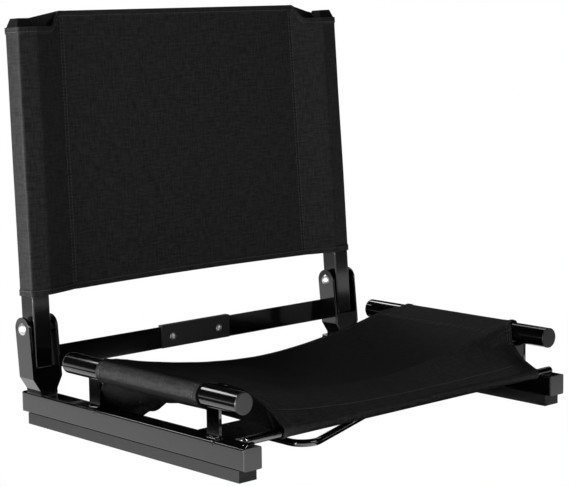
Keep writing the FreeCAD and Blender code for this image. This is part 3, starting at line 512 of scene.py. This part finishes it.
# Seat sling: one cloth with a sleeve on each seat tube and a hem round the front rod.
# slackMm holds (y, lowest z) of the loose layer under the left tube, cuffMm (share of the way, x, forward, up)
# along the right free edge, and foldMm (start, end, height, width) of each soft fold
seatSling = {"clothMm": 0.9, "hemMm": 1.8, "hemWideMm": 7.0, "looseMm": 0.35, "dipMm": 23.8, "sagPower": 1.8,
             "touchDeg": 15.0, "leaveDeg": -75.0, "seamMm": 222.0, "seamDropMm": 1.2, "freeEdgeMm": 240.0,
             "frontGapMm": 3.0, "rearGapMm": 9.8, "tailMm": 17.5, "underTailMm": 28.0,
             "hemLeftMm": 38.3, "hemRightMm": 16.3, "wrapFromDeg": 305.0, "wrapDeg": 215.0,
             "lapMm": 13.0, "lapGapMm": 1.0, "swellMm": 4.5, "swellWideMm": 30.0, "fallPower": (2.2, 1.5),
             "rowMm": (1.5, 5.5), "rowRun": (0.03, 0.97), "hemRowMm": 6.0, "hemRowRun": (0.04, 0.86),
             "slackMm": ((-136, 64), (-72, 63), (-42, 59), (-9, 43), (22, 30), (47, 29)),
             "rightSlackMm": 67.0, "slackHandleMm": (4.0, 21.0), "forwardShare": 0.82,
             "rimEndMm": (9.0, -0.5), "unevenMm": 0.6, "unevenLongMm": (40.0, 70.0),
             "grooveMm": 0.4, "grooveWideMm": 1.4, "puckerMm": 0.45, "puckerPitchMm": 11.0,
             "puckerInMm": 5.0, "puckerWideMm": 8.0, "wander": 4.0, "wanderMm": (25.0, 30.0),
             "tightMm": 3.0, "cuffFromMm": 175.0,
             "cuffMm": ((0.0, 0.0, 4.0, 0.8), (0.12, -6.4, 9.0, -3.4), (0.22, -10.0, 13.0, -12.4),
                        (0.32, -11.0, 14.5, -21.0), (0.45, -15.5, 25.0, -29.5), (0.7, -21.0, 41.0, -39.5)),
             "flareRunMm": 16.0, "flareRad": (0.2, 1.2),
             "foldMm": (((168, -135), (152, -180), 0.7, 5.0), ((122, -113), (85, -166), 0.6, 6.0),
                        ((68, -151), (48, -185), 0.6, 5.0), ((0, -150), (0, -187), 0.6, 6.0)),
             "zigzagMm": 3.0, "zigzagRows": ((2.0, 0.95), (5.5, 0.4), (9.0, 0.4)), "zigzagDeg": 40,
             "cuffZigzagMm": 2.2, "cuffZigzagDeg": 35, "keptShare": 0.86}
# Steps of the sling's grid: across, as columns of the panel in mm, and counts round and along
slingGrid = {"seamBandMm": 12.0, "panelMm": 4.0, "seamMm": 1.5, "edgeMm": 2.2,
             "wrap": 22, "under": 18, "lap": 4, "rod": 14, "apron": 26, "main": 60}


def makeSeatSling():
    made = seatSling
    low, high = (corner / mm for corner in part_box("right_seat_tube"))
    tube, ring = (low + high) / 2, (high.z - low.z) / 2 + made["looseMm"]
    low, high = (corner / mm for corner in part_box("front_rod"))
    rod, rodRing = (low + high) / 2, (high.z - low.z) / 2 + made["looseMm"]
    rodTop = rod.z + rodRing
    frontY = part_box("right_front_standoff")[1].y / mm + made["frontGapMm"]
    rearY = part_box("right_rear_standoff")[0].y / mm - made["rearGapMm"]
    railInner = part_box("right_rail")[0].x / mm
    hemLeft, hemRight = made["hemLeftMm"] - railInner, railInner - made["hemRightMm"]
    touch, leave = math.radians(made["touchDeg"]), math.radians(made["leaveDeg"])
    touchX, touchZ = tube.x - ring * math.sin(touch), tube.z + ring * math.cos(touch)
    dip = tube.z - made["dipMm"]
    seam, free = made["seamMm"], made["freeEdgeMm"]
    leftPower, rightPower = made["fallPower"]
    wrapFrom = math.radians(made["wrapFromDeg"])
    below = Vector((0, 0, -made["seamDropMm"]))

    def sag(x):
        return dip + (touchZ - dip) * (abs(x) / touchX) ** made["sagPower"]

    def slackLow(y):
        marks = made["slackMm"]
        for (y0, z0), (y1, z1) in zip(marks, marks[1:]):
            if y <= y1:
                return z0 + (z1 - z0) * ease(y, y0, y1)
        return marks[-1][1]

    def section(column, y):
        # Spot across the sling where it has its sleeves: under each tube, round it, and over the dip
        kind, hand, value = column
        if kind == "panel":
            return Vector((value, y, sag(value)))
        if kind == "wrap":
            return Vector((hand * (tube.x + ring * math.cos(value)), y, tube.z + ring * math.sin(value)))
        start = Vector((seam, sag(seam) - made["seamDropMm"]))
        end = Vector((tube.x + ring * math.cos(leave), tube.z + ring * math.sin(leave)))
        lowest = slackLow(y) if hand < 0 else made["rightSlackMm"]
        # Height of both handles that brings the middle of the curve down to the lowest point
        pull = (lowest - (start.y + end.y) / 8) / 0.75
        first, second = made["slackHandleMm"]
        bows = [start, Vector((seam - first, pull)), Vector((tube.x - second, pull)), end]
        t = value
        mix = ((1 - t) ** 3, 3 * t * (1 - t) ** 2, 3 * t * t * (1 - t), t ** 3)
        flat = sum((bow * share for bow, share in zip(bows, mix)), Vector((0, 0)))
        return Vector((hand * flat.x, y, flat.y))

    def rearEdge(column):
        kind, hand, value = column
        if kind == "wrap":
            return rearY
        if kind == "under":
            tail = made["tailMm"] + (made["underTailMm"] - made["tailMm"]) * ease(value, 0.1, 0.5)
            return rearY + tail * (1 - ease(value, 0.85, 1.0))
        return rearY + made["tailMm"] * (1 - ease(abs(value), seam, touchX))

    def across(x):
        # 0 at the apron's left free edge, 1 at its right one
        return (x + free) / (touchX + free)

    def hemX(x):
        return hemLeft + across(x) * (hemRight - hemLeft)

    def swell(x):
        # The hem is fuller at its left end
        return made["swellMm"] * near(x, -free, made["swellWideMm"])

    def aroundRod(x, fat, turn):
        return Vector((hemX(x), rod.y + fat * math.cos(turn), rod.z + fat * math.sin(turn)))

    # Right free edge: over the tube's top, down its inner side, then forward to the hem
    corner = Vector((touchX, frontY, touchZ))
    cuff = [(share, corner + Vector((x, -y, z))) for share, x, y, z in made["cuffMm"]]
    cuff.append((1.0, Vector((hemRight, rod.y, rodTop))))

    def drawn(t):
        # Smooth line through the points of the right free edge
        k = max(i for i, mark in enumerate(cuff[:-1]) if mark[0] <= t)
        (t1, one), (t2, two) = cuff[k], cuff[k + 1]
        (t0, before), (t3, after) = cuff[max(k - 1, 0)], cuff[min(k + 2, len(cuff) - 1)]
        share = (t - t1) / (t2 - t1)
        start = (two - before) * ((t2 - t1) / (t2 - t0))
        arrive = (after - one) * ((t2 - t1) / (t3 - t1))
        return ((one * (1 + 2 * share) + start * share) * (1 - share) ** 2
                + (two * (3 - 2 * share) + arrive * (share - 1)) * share ** 2)

    def apronEdge(t):
        return Vector((touchX + (hemRight - touchX) * t, frontY + (rod.y - frontY) * t,
                       touchZ + (rodTop - touchZ) * (1 - (1 - t) ** rightPower)))

    def apron(x, t):
        # From the sleeves' front down to the front rod: full at the left edge, drawn tight at the right
        side = across(x)
        fall = (1 - side) * t ** leftPower + side * (1 - (1 - t) ** rightPower)
        top = rodTop + swell(x)
        where = Vector((x + (hemX(x) - x) * t, frontY + (rod.y - frontY) * t, sag(x) + (top - sag(x)) * fall))
        if x > made["cuffFromMm"]:
            where += (drawn(t) - apronEdge(t)) * ease(x, made["cuffFromMm"], touchX)
        return where

    def flare(column):
        # How far a column of the sleeves' front follows the right free edge
        kind, hand, value = column
        if kind == "panel":
            return ease(value, made["cuffFromMm"], touchX)
        return ease(value, *made["flareRad"]) if kind == "wrap" and hand > 0 else 0.0

    def crease(x, y):
        # Soft folds across the front, puckers along the seams and a little unevenness, in mm
        acrossMm, alongMm = made["unevenLongMm"]
        lift = made["unevenMm"] * noise.noise(Vector((x / acrossMm, y / alongMm, 5.0)))
        for (x0, y0), (x1, y1), high, wide in made["foldMm"]:
            line = Vector((x1 - x0, y1 - y0))
            share = ((x - x0) * line.x + (y - y0) * line.y) / line.length_squared
            aside = ((x - x0) * line.y - (y - y0) * line.x) / line.length
            lift += high * near(aside, 0, wide) * ease(share, -0.4, 0.3) * (1 - ease(share, 0.7, 1.4))
        acrossMm, alongMm = made["wanderMm"]
        wander = made["wander"] * noise.noise(Vector((x / acrossMm, y / alongMm, 2.0)))
        wave = math.sin(2 * math.pi * y / made["puckerPitchMm"] + wander)
        lift += made["puckerMm"] * wave * near(abs(x), seam - made["puckerInMm"], made["puckerWideMm"])
        for row in made["rowMm"]:
            lift -= made["grooveMm"] * near(abs(x), seam - row, made["grooveWideMm"])
        return lift * (1 - ease(abs(x), seam + made["tightMm"], touchX - made["tightMm"]))

    def spot(column, row):
        kind, hand, value = column
        zone, share = row
        if zone == "main":
            behind = (rearEdge(column) - frontY) * share
            where = section(column, frontY + behind)
            where += (cuff[0][1] - corner) * flare(column) * (1 - ease(behind, 0, made["flareRunMm"]))
        elif kind == "panel":
            x = max(value, -free)
            fat = rodRing + swell(x) * max(0.0, math.sin(share))
            if zone == "apron":
                where = apron(x, share)
            elif zone == "rod":
                where = aroundRod(x, fat, share)
            else:
                under = apron(x, 1 - made["lapMm"] / (frontY - rod.y)) - Vector((0, 0, made["lapGapMm"]))
                where = aroundRod(x, fat, wrapFrom).lerp(under, share)
        else:
            where = section(column, frontY)
            if zone == "apron" and kind == "under" and hand < 0:
                # Loose under layer of the left sleeve, drawn forward to the hem's left end
                part = value / made["forwardShare"]
                rim = section(("under", -1, made["forwardShare"]), frontY)
                straight = section(("under", -1, 0.0), frontY).lerp(rim, part)
                ahead, down = made["rimEndMm"]
                rim = rim.lerp(Vector((hemLeft, rod.y + ahead, rod.z + down)), share)
                joined = apron(-seam, share) + below
                where = joined.lerp(rim, part) + (where - straight) * (1 - share) ** 2
        if kind == "panel" and zone in ("main", "apron"):
            flatter = 1 - ease(share, 0.75, 0.95) if zone == "apron" else 1.0
            where = where + Vector((0, 0, crease(where.x, where.y) * flatter))
        return where

    grid = slingGrid
    inside, outside = seam - grid["seamBandMm"], seam + grid["seamBandMm"]
    halfPanel = sorted(set(spaced(0, inside, grid["panelMm"]) + spaced(inside, outside, grid["seamMm"])
                           + spaced(outside, free, grid["seamMm"]) + spaced(free, touchX, grid["edgeMm"])))
    panel = [-x for x in reversed(halfPanel[1:])] + halfPanel
    turns = [leave + (math.pi / 2 + touch - leave) * k / grid["wrap"] for k in range(grid["wrap"])]
    unders = [k / grid["under"] for k in range(grid["under"])]
    left = [("under", -1, t) for t in unders] + [("wrap", -1, a) for a in turns]
    right = [("wrap", 1, a) for a in reversed(turns)] + [("under", 1, t) for t in reversed(unders)]
    columns = left + [("panel", 0, -touchX)] + [("panel", 0, x) for x in panel[1:]]
    columns += [("panel", 0, touchX)] + right
    rows = [("lap", 1 - k / grid["lap"]) for k in range(grid["lap"])]
    rows += [("rod", math.radians(made["wrapFromDeg"] - made["wrapDeg"] * k / grid["rod"]))
             for k in range(grid["rod"])]
    rows += [("apron", 1 - k / grid["apron"]) for k in range(grid["apron"])]
    firstMain = len(rows)
    rows += [("main", k / grid["main"]) for k in range(grid["main"] + 1)]
    acrossMarks = runMarks([spot(column, ("main", 0.5)) for column in columns])
    alongMarks = runMarks([spot(("panel", 0, 0.0), row) for row in rows])

    def place(i, j):
        return spot(columns[i], rows[j]), (acrossMarks[i], alongMarks[j])

    def inApron(column):
        return column[0] == "panel" and column[2] >= -free - 0.01

    def kept(i, j):
        # Cloth in front of the sleeves is cut away, but for the apron and the left sleeve's loose under layer
        ends = (columns[i], columns[i + 1])
        if rows[j][0] == "main" or all(inApron(c) for c in ends):
            return True
        return rows[j][0] == "apron" and all(c[0] == "under" and c[1] < 0 and c[2] <= made["forwardShare"]
                                             for c in ends)

    def edgeAt(u, v):
        column = columns[min(bisect.bisect_left(acrossMarks, u - 0.01), len(columns) - 1)]
        edge = alongMarks[-1] - v
        if not inApron(column):
            return min(edge, max(v - alongMarks[firstMain], 0.0))
        if v < alongMarks[firstMain]:
            return min(column[2] + free, touchX - column[2])
        return edge

    sheet = gridSheet("seatSling", len(columns) - 1, len(rows) - 1, place, kept)
    thicken(sheet, made, edgeAt)

    def sewnFlat(x, zone, share, turn, lift):
        # Stitch on the upper side, turned from across the sling (0) to along it (90 degrees)
        here = spot(("panel", 0, x), (zone, share))
        sideways = (here - spot(("panel", 0, x - 0.5), (zone, share))).normalized()
        rearward = share - 0.004 if zone == "apron" else share + 0.004
        outward = sideways.cross(spot(("panel", 0, x), (zone, rearward)) - here).normalized()
        ahead = Matrix.Rotation(math.radians(turn), 3, outward) @ sideways
        return here + outward * lift, ahead, outward, 1.0

    def sewnRound(hand, angle, y, lift, turn=0):
        # Stitch round a sleeve, turned from round it (0) to along it (90 degrees)
        outward = Vector((hand * math.cos(angle), 0, math.sin(angle)))
        ahead = Vector((-hand * math.sin(angle), 0, math.cos(angle)))
        here = spot(("wrap", hand, angle), ("main", (y - frontY) / (rearY - frontY)))
        return here + outward * lift, Matrix.Rotation(math.radians(turn), 3, outward) @ ahead, outward, 1.0

    rowsSewn = []
    onCloth, onHem = made["clothMm"] + stitch["liftMm"], made["hemMm"] + stitch["liftMm"]
    sleeveLong, apronLong = rearY - frontY, frontY - rod.y
    for hand in (-1, 1):
        for row in made["rowMm"]:
            for share in spaced(*made["rowRun"], stitch["pitchMm"] / sleeveLong):
                rowsSewn.append(sewnFlat(hand * (seam - row), "main", share, 90, onCloth))
        x = touchX - made["hemRowMm"] if hand > 0 else made["hemRowMm"] - free
        for share in spaced(*made["hemRowRun"], stitch["pitchMm"] / apronLong):
            rowsSewn.append(sewnFlat(x, "apron", share, 90, onHem))
        for y in (frontY + made["hemRowMm"], rearY - made["hemRowMm"]):
            for angle in spaced(leave, math.pi / 2, stitch["pitchMm"] / ring):
                rowsSewn.append(sewnRound(hand, angle, y, onHem))
    for x in spaced(-seam, seam, stitch["pitchMm"]):
        rowsSewn.append(sewnFlat(x, "main", 1 - made["hemRowMm"] / (sleeveLong + made["tailMm"]), 0, onHem))
        rowsSewn.append(sewnFlat(x, "apron", 1 - made["lapMm"] / apronLong, 0, onCloth))
    # Zigzag over the raw edge on the right
    for inset, end in made["zigzagRows"]:
        lift = onHem if inset < made["hemWideMm"] - 1 else onCloth
        for k, share in enumerate(spaced(0.01, end, made["zigzagMm"] / apronLong)):
            turn = made["zigzagDeg"] if k % 2 else -made["zigzagDeg"]
            rowsSewn.append(sewnFlat(touchX - inset, "apron", share, turn, lift))
    for k, angle in enumerate(spaced(leave, math.pi / 2, made["zigzagMm"] / ring)):
        turn = 90 - made["cuffZigzagDeg"] if k % 2 else 90 + made["cuffZigzagDeg"]
        rowsSewn.append(sewnRound(1, angle, frontY + made["cuffZigzagMm"], onHem, turn))
    stitches = setInRows("seatStitches", rowsSewn, stitch["sizeMm"], threadLook)
    for piece in (sheet, stitches):
        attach(piece, "base")
    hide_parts("seat_canvas")


makeSeatSling()
print("seat sling and its seams")


# Weld beads under the paint: overlapping puddles of metal at the feet of straps, rod and brackets
weld = {"stepMm": 2.4, "sizeMm": (3.6, 3.4, 2.8), "unevenShare": 0.35, "besideMm": 0.4, "endMm": 0.5,
        "spillMm": (1.0, 1.5), "runDownMm": (0, 1.0, -5.0), "rodEndMm": 1.5, "rodSideMm": 1.8, "rodUpMm": 0.3,
        "bracketEndMm": 2.0}


def makeWelds():
    beads = []
    beside = weld["besideMm"]

    def bead(start, end):
        ahead = (end - start).normalized()
        for distance in spaced(0, (end - start).length, weld["stepMm"]):
            spot = start + ahead * distance
            scale = 1 + weld["unevenShare"] * noise.noise(spot * 0.9)
            beads.append((spot, ahead, Vector((0, 0, 1)), scale))

    for side in ("left", "right"):
        railLow, railHigh = (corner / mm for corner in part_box(side + "_rail"))
        for end in ("front", "rear"):
            low, high = (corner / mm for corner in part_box(side + "_" + end + "_standoff"))
            for x in (low.x - beside, high.x + beside):
                bead(Vector((x, low.y + weld["endMm"], low.z)), Vector((x, high.y - weld["endMm"], low.z)))
            # The puddle at the strap's front corner runs over the rail's outer edge
            outer = railLow.x if side == "left" else railHigh.x
            foot = Vector((low.x if side == "left" else high.x, low.y + weld["spillMm"][0], low.z))
            over = Vector((outer, low.y - weld["spillMm"][1], low.z))
            bead(foot, over)
            bead(over, over + Vector(weld["runDownMm"]))
        rodLow, rodHigh = (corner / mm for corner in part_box("front_rod"))
        inner = max(railLow.x, rodLow.x) + weld["rodEndMm"]
        outer = min(railHigh.x, rodHigh.x) - weld["rodEndMm"]
        z = rodLow.z + weld["rodUpMm"]
        for y in (rodLow.y + weld["rodSideMm"], rodHigh.y - weld["rodSideMm"]):
            bead(Vector((inner, y, z)), Vector((outer, y, z)))
        low, high = (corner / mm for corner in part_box(side + "_hinge_bracket"))
        bead(Vector((railLow.x + weld["bracketEndMm"], low.y - beside, low.z)),
             Vector((railHigh.x - weld["bracketEndMm"], low.y - beside, low.z)))
    welds = setInRows("weldBeads", beads, weld["sizeMm"], slotMaterials["frame_paint"])
    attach(welds, "base")


makeWelds()
print("weld beads")

# Camera as in the photograph
cameraPlace = {"from": (-1.5390, -1.67314, 0.5348), "to": (-0.0164, -0.00574, 0.2175), "rollDeg": -0.8,
               "lensMm": 116.8}


def makeCamera():
    eye = bpy.data.cameras.new("photoCamera")
    eye.lens = cameraPlace["lensMm"]
    eye.sensor_width = 36.0
    held = bpy.data.objects.new("photoCamera", eye)
    scene.collection.objects.link(held)
    aim = Vector(cameraPlace["to"]) - Vector(cameraPlace["from"])
    turn = aim.to_track_quat("-Z", "Y").to_matrix().to_4x4()
    held.matrix_world = (Matrix.Translation(cameraPlace["from"]) @ turn
                         @ Matrix.Rotation(math.radians(cameraPlace["rollDeg"]), 4, "Z"))
    scene.camera = held


makeCamera()

# White sweep inside a dark tent, with a long low key light on the left and three weak fills
studio = {"floorM": 30.0, "floorZ": -0.0005, "ambient": 0.22, "tentM": 5.0, "tentCutZ": 0.01}
softboxes = {"keyLeft": {"at": (-2.3, 0.3, 0.14), "to": (-0.25, 0.1, 0.2), "size": (2.0, 0.18), "watts": 120},
             "fillFront": {"at": (-0.8, -2.8, 0.4), "to": (0.0, 0.0, 0.2), "size": (1.6, 0.6), "watts": 1.0},
             "lowFront": {"at": (0.05, -0.8, 0.06), "to": (0.05, 0.0, 0.06), "size": (0.9, 0.08),
                          "watts": 1.1, "mirrored": False},
             "fillRight": {"at": (1.9, 0.9, 1.7), "to": (0.0, -0.05, 0.08), "size": (1.2, 0.6), "watts": 2.5}}
# The tent and these cards show in gloss only: paint goes black over the dark ones and is streaked by the lit ones.
# The dark cards under the seat and under the hook are painted shadow: they put back the floor's shade there, which
# the white floor drops in gloss. Cards without an aim lie on the floor
glossCards = {"seatShadow": {"at": (0.0, 0.1, 0.0005), "size": (0.48, 0.60), "glow": 0.0},
              "leftRear": {"at": (-0.82, 0.1, 0.0005), "size": (0.90, 0.52), "glow": 0.0},
              "frontRight": {"at": (0.6, -0.83, 0.0005), "size": (1.0, 1.2), "glow": 0.0},
              # Painted shadow: dark card for the floor's shade under the hook
              "hookShadow": {"at": (0.095, -0.345, 0.001), "size": (0.31, 0.31), "glow": 0.0},
              "leftFar": {"at": (0.13, -0.69, 0.001), "size": (0.2, 0.22), "glow": 2.2},
              "rightShade": {"at": (-0.45, 0.95, 0.001), "size": (0.4, 0.45), "glow": 0.3},
              "leftShade": {"at": (-0.95, 0.95, 0.001), "size": (0.45, 0.45), "glow": 0.4},
              "frontFloor": {"at": (-0.11, -0.5, 0.0005), "size": (0.4, 0.55), "glow": 2.2},
              "rightFloor": {"at": (0.36, -0.27, 0.001), "size": (0.22, 0.15), "glow": 1.4},
              "stopFloor": {"at": (0.54, -0.09, 0.003), "size": (0.34, 0.22), "glow": 0.1},
              "strapFloor": {"at": (0.02, 0.03, 0.003), "size": (0.13, 0.17), "glow": 0.6},
              "besideHook": {"at": (-0.1, -0.255, 0.001), "size": (0.09, 0.13), "glow": 0.0},
              "rightFar": {"at": (0.6, -0.483, 0.003), "size": (0.18, 0.15), "glow": 1.1},
              "tubeBand": {"at": (1.2, 1.7, 2.2), "to": (0.25, -0.18, 0.1), "size": (0.4, 0.4), "glow": 1.5},
              "uprightFront": {"at": (1.25, -1.35, 0.2), "to": (-0.25, 0.17, 0.2), "size": (1.3, 0.4),
                               "glow": 0.05},
              "streak": {"at": (0.05, 1.8, 1.65), "to": (0.05, 0.0, 0.1), "size": (2.0, 0.35), "glow": 6.0},
              "frontTop": {"at": (0.7, -2.2, 1.3), "to": (0.0, 0.2, 0.12), "size": (1.4, 0.9), "glow": 3.0}}
# Black flags that only throw shade: they keep the low key off the seat and off what is under the left tube
flagBoards = {"underTube": {"at": (-0.3, -0.033, 0.061), "size": (0.365, 0.042)},
              "overTube": {"at": (-0.29, -0.07, 0.130), "size": (0.30, 0.062)}}


def seenDirectly(tree):
    # 1 for what the camera or a shiny surface sees, 0 for light that falls on the object
    light = addNode(tree, "ShaderNodeLightPath")
    direct = addNode(tree, "ShaderNodeMath", {"operation": "MAXIMUM"},
                     {0: light.outputs["Is Camera Ray"], 1: light.outputs["Is Glossy Ray"]})
    seen = addNode(tree, "ShaderNodeMath", {"operation": "MAXIMUM"},
                   {0: direct.outputs[0], 1: light.outputs["Is Transmission Ray"]})
    return seen.outputs[0]


def setUp(held, placed, axis):
    # Stands a card or lamp at its place and turns it to its aim
    held.location = placed["at"]
    held.rotation_mode = "QUATERNION"
    aim = Vector(placed["to"]) - Vector(placed["at"]) if "to" in placed else Vector((0, 0, 1))
    held.rotation_quaternion = aim.to_track_quat(axis, "Y")


def glossOnly(flag):
    flag.visible_camera = flag.visible_diffuse = flag.visible_shadow = flag.visible_transmission = False


def makeStudio():
    deselectAll()
    bpy.ops.mesh.primitive_plane_add(size=studio["floorM"], location=(0, 0, studio["floorZ"]))
    sweep = bpy.context.object
    sweep.name = "whiteSweep"
    paper, tree, body = newMaterial("whitePaperSweep", {"Base Color": linear("#f2f2f2"), "Roughness": 0.9})
    white = addNode(tree, "ShaderNodeEmission", {"Strength": 1.0})
    either = addNode(tree, "ShaderNodeMixShader", None,
                     {0: seenDirectly(tree), 1: body.outputs[0], 2: white.outputs[0]})
    tree.links.new(either.outputs[0], tree.nodes["Material Output"].inputs["Surface"])
    sweep.data.materials.append(paper)

    deselectAll()
    bpy.ops.mesh.primitive_uv_sphere_add(segments=32, ring_count=16, radius=studio["tentM"])
    tent = bpy.context.object
    tent.name = "darkTent"
    bpy.ops.object.mode_set(mode="EDIT")
    bpy.ops.mesh.bisect(plane_co=(0, 0, studio["tentCutZ"]), plane_no=(0, 0, 1), clear_inner=True)
    bpy.ops.object.mode_set(mode="OBJECT")
    velvet = newMaterial("blackVelvet", {"Base Color": linear("#050505"), "Roughness": 1.0,
                                         "Specular IOR Level": 0.0})[0]
    tent.data.materials.append(velvet)
    glossOnly(tent)

    for name, card in glossCards.items():
        deselectAll()
        bpy.ops.mesh.primitive_plane_add(size=1.0)
        flag = bpy.context.object
        flag.name = name
        flag.scale = (*card["size"], 1.0)
        setUp(flag, card, "Z")
        paint = newMaterial(name + "Card", {
            "Base Color": linear("#000000"), "Specular IOR Level": 0.0,
            "Emission Color": (1, 1, 1, 1), "Emission Strength": card["glow"]})[0]
        flag.data.materials.append(paint)
        glossOnly(flag)

    for name, flag in flagBoards.items():
        deselectAll()
        bpy.ops.mesh.primitive_plane_add(size=1.0, location=flag["at"], rotation=(0, math.radians(90), 0))
        board = bpy.context.object
        board.name = name
        board.scale = (flag["size"][1], flag["size"][0], 1.0)
        board.visible_camera = board.visible_diffuse = False
        board.visible_glossy = board.visible_transmission = False
        board.data.materials.append(velvet)

    sky = bpy.data.worlds.new("whiteStudio")
    sky.use_nodes = True
    tree = sky.node_tree
    strength = addNode(tree, "ShaderNodeMix", {"data_type": "FLOAT", 2: studio["ambient"], 3: 1.0},
                       {0: seenDirectly(tree)})
    tree.links.new(strength.outputs[0], tree.nodes["Background"].inputs["Strength"])
    tree.nodes["Background"].inputs["Color"].default_value = (1, 1, 1, 1)
    scene.world = sky

    for name, box in softboxes.items():
        lamp = bpy.data.lights.new(name, "AREA")
        lamp.shape = "RECTANGLE"
        lamp.size, lamp.size_y = box["size"]
        lamp.energy = box["watts"]
        held = bpy.data.objects.new(name, lamp)
        scene.collection.objects.link(held)
        setUp(held, box, "-Z")
        held.visible_camera = False
        held.visible_glossy = box.get("mirrored", True)


makeStudio()
scene.view_settings.view_transform = "Standard"
print("camera and studio")
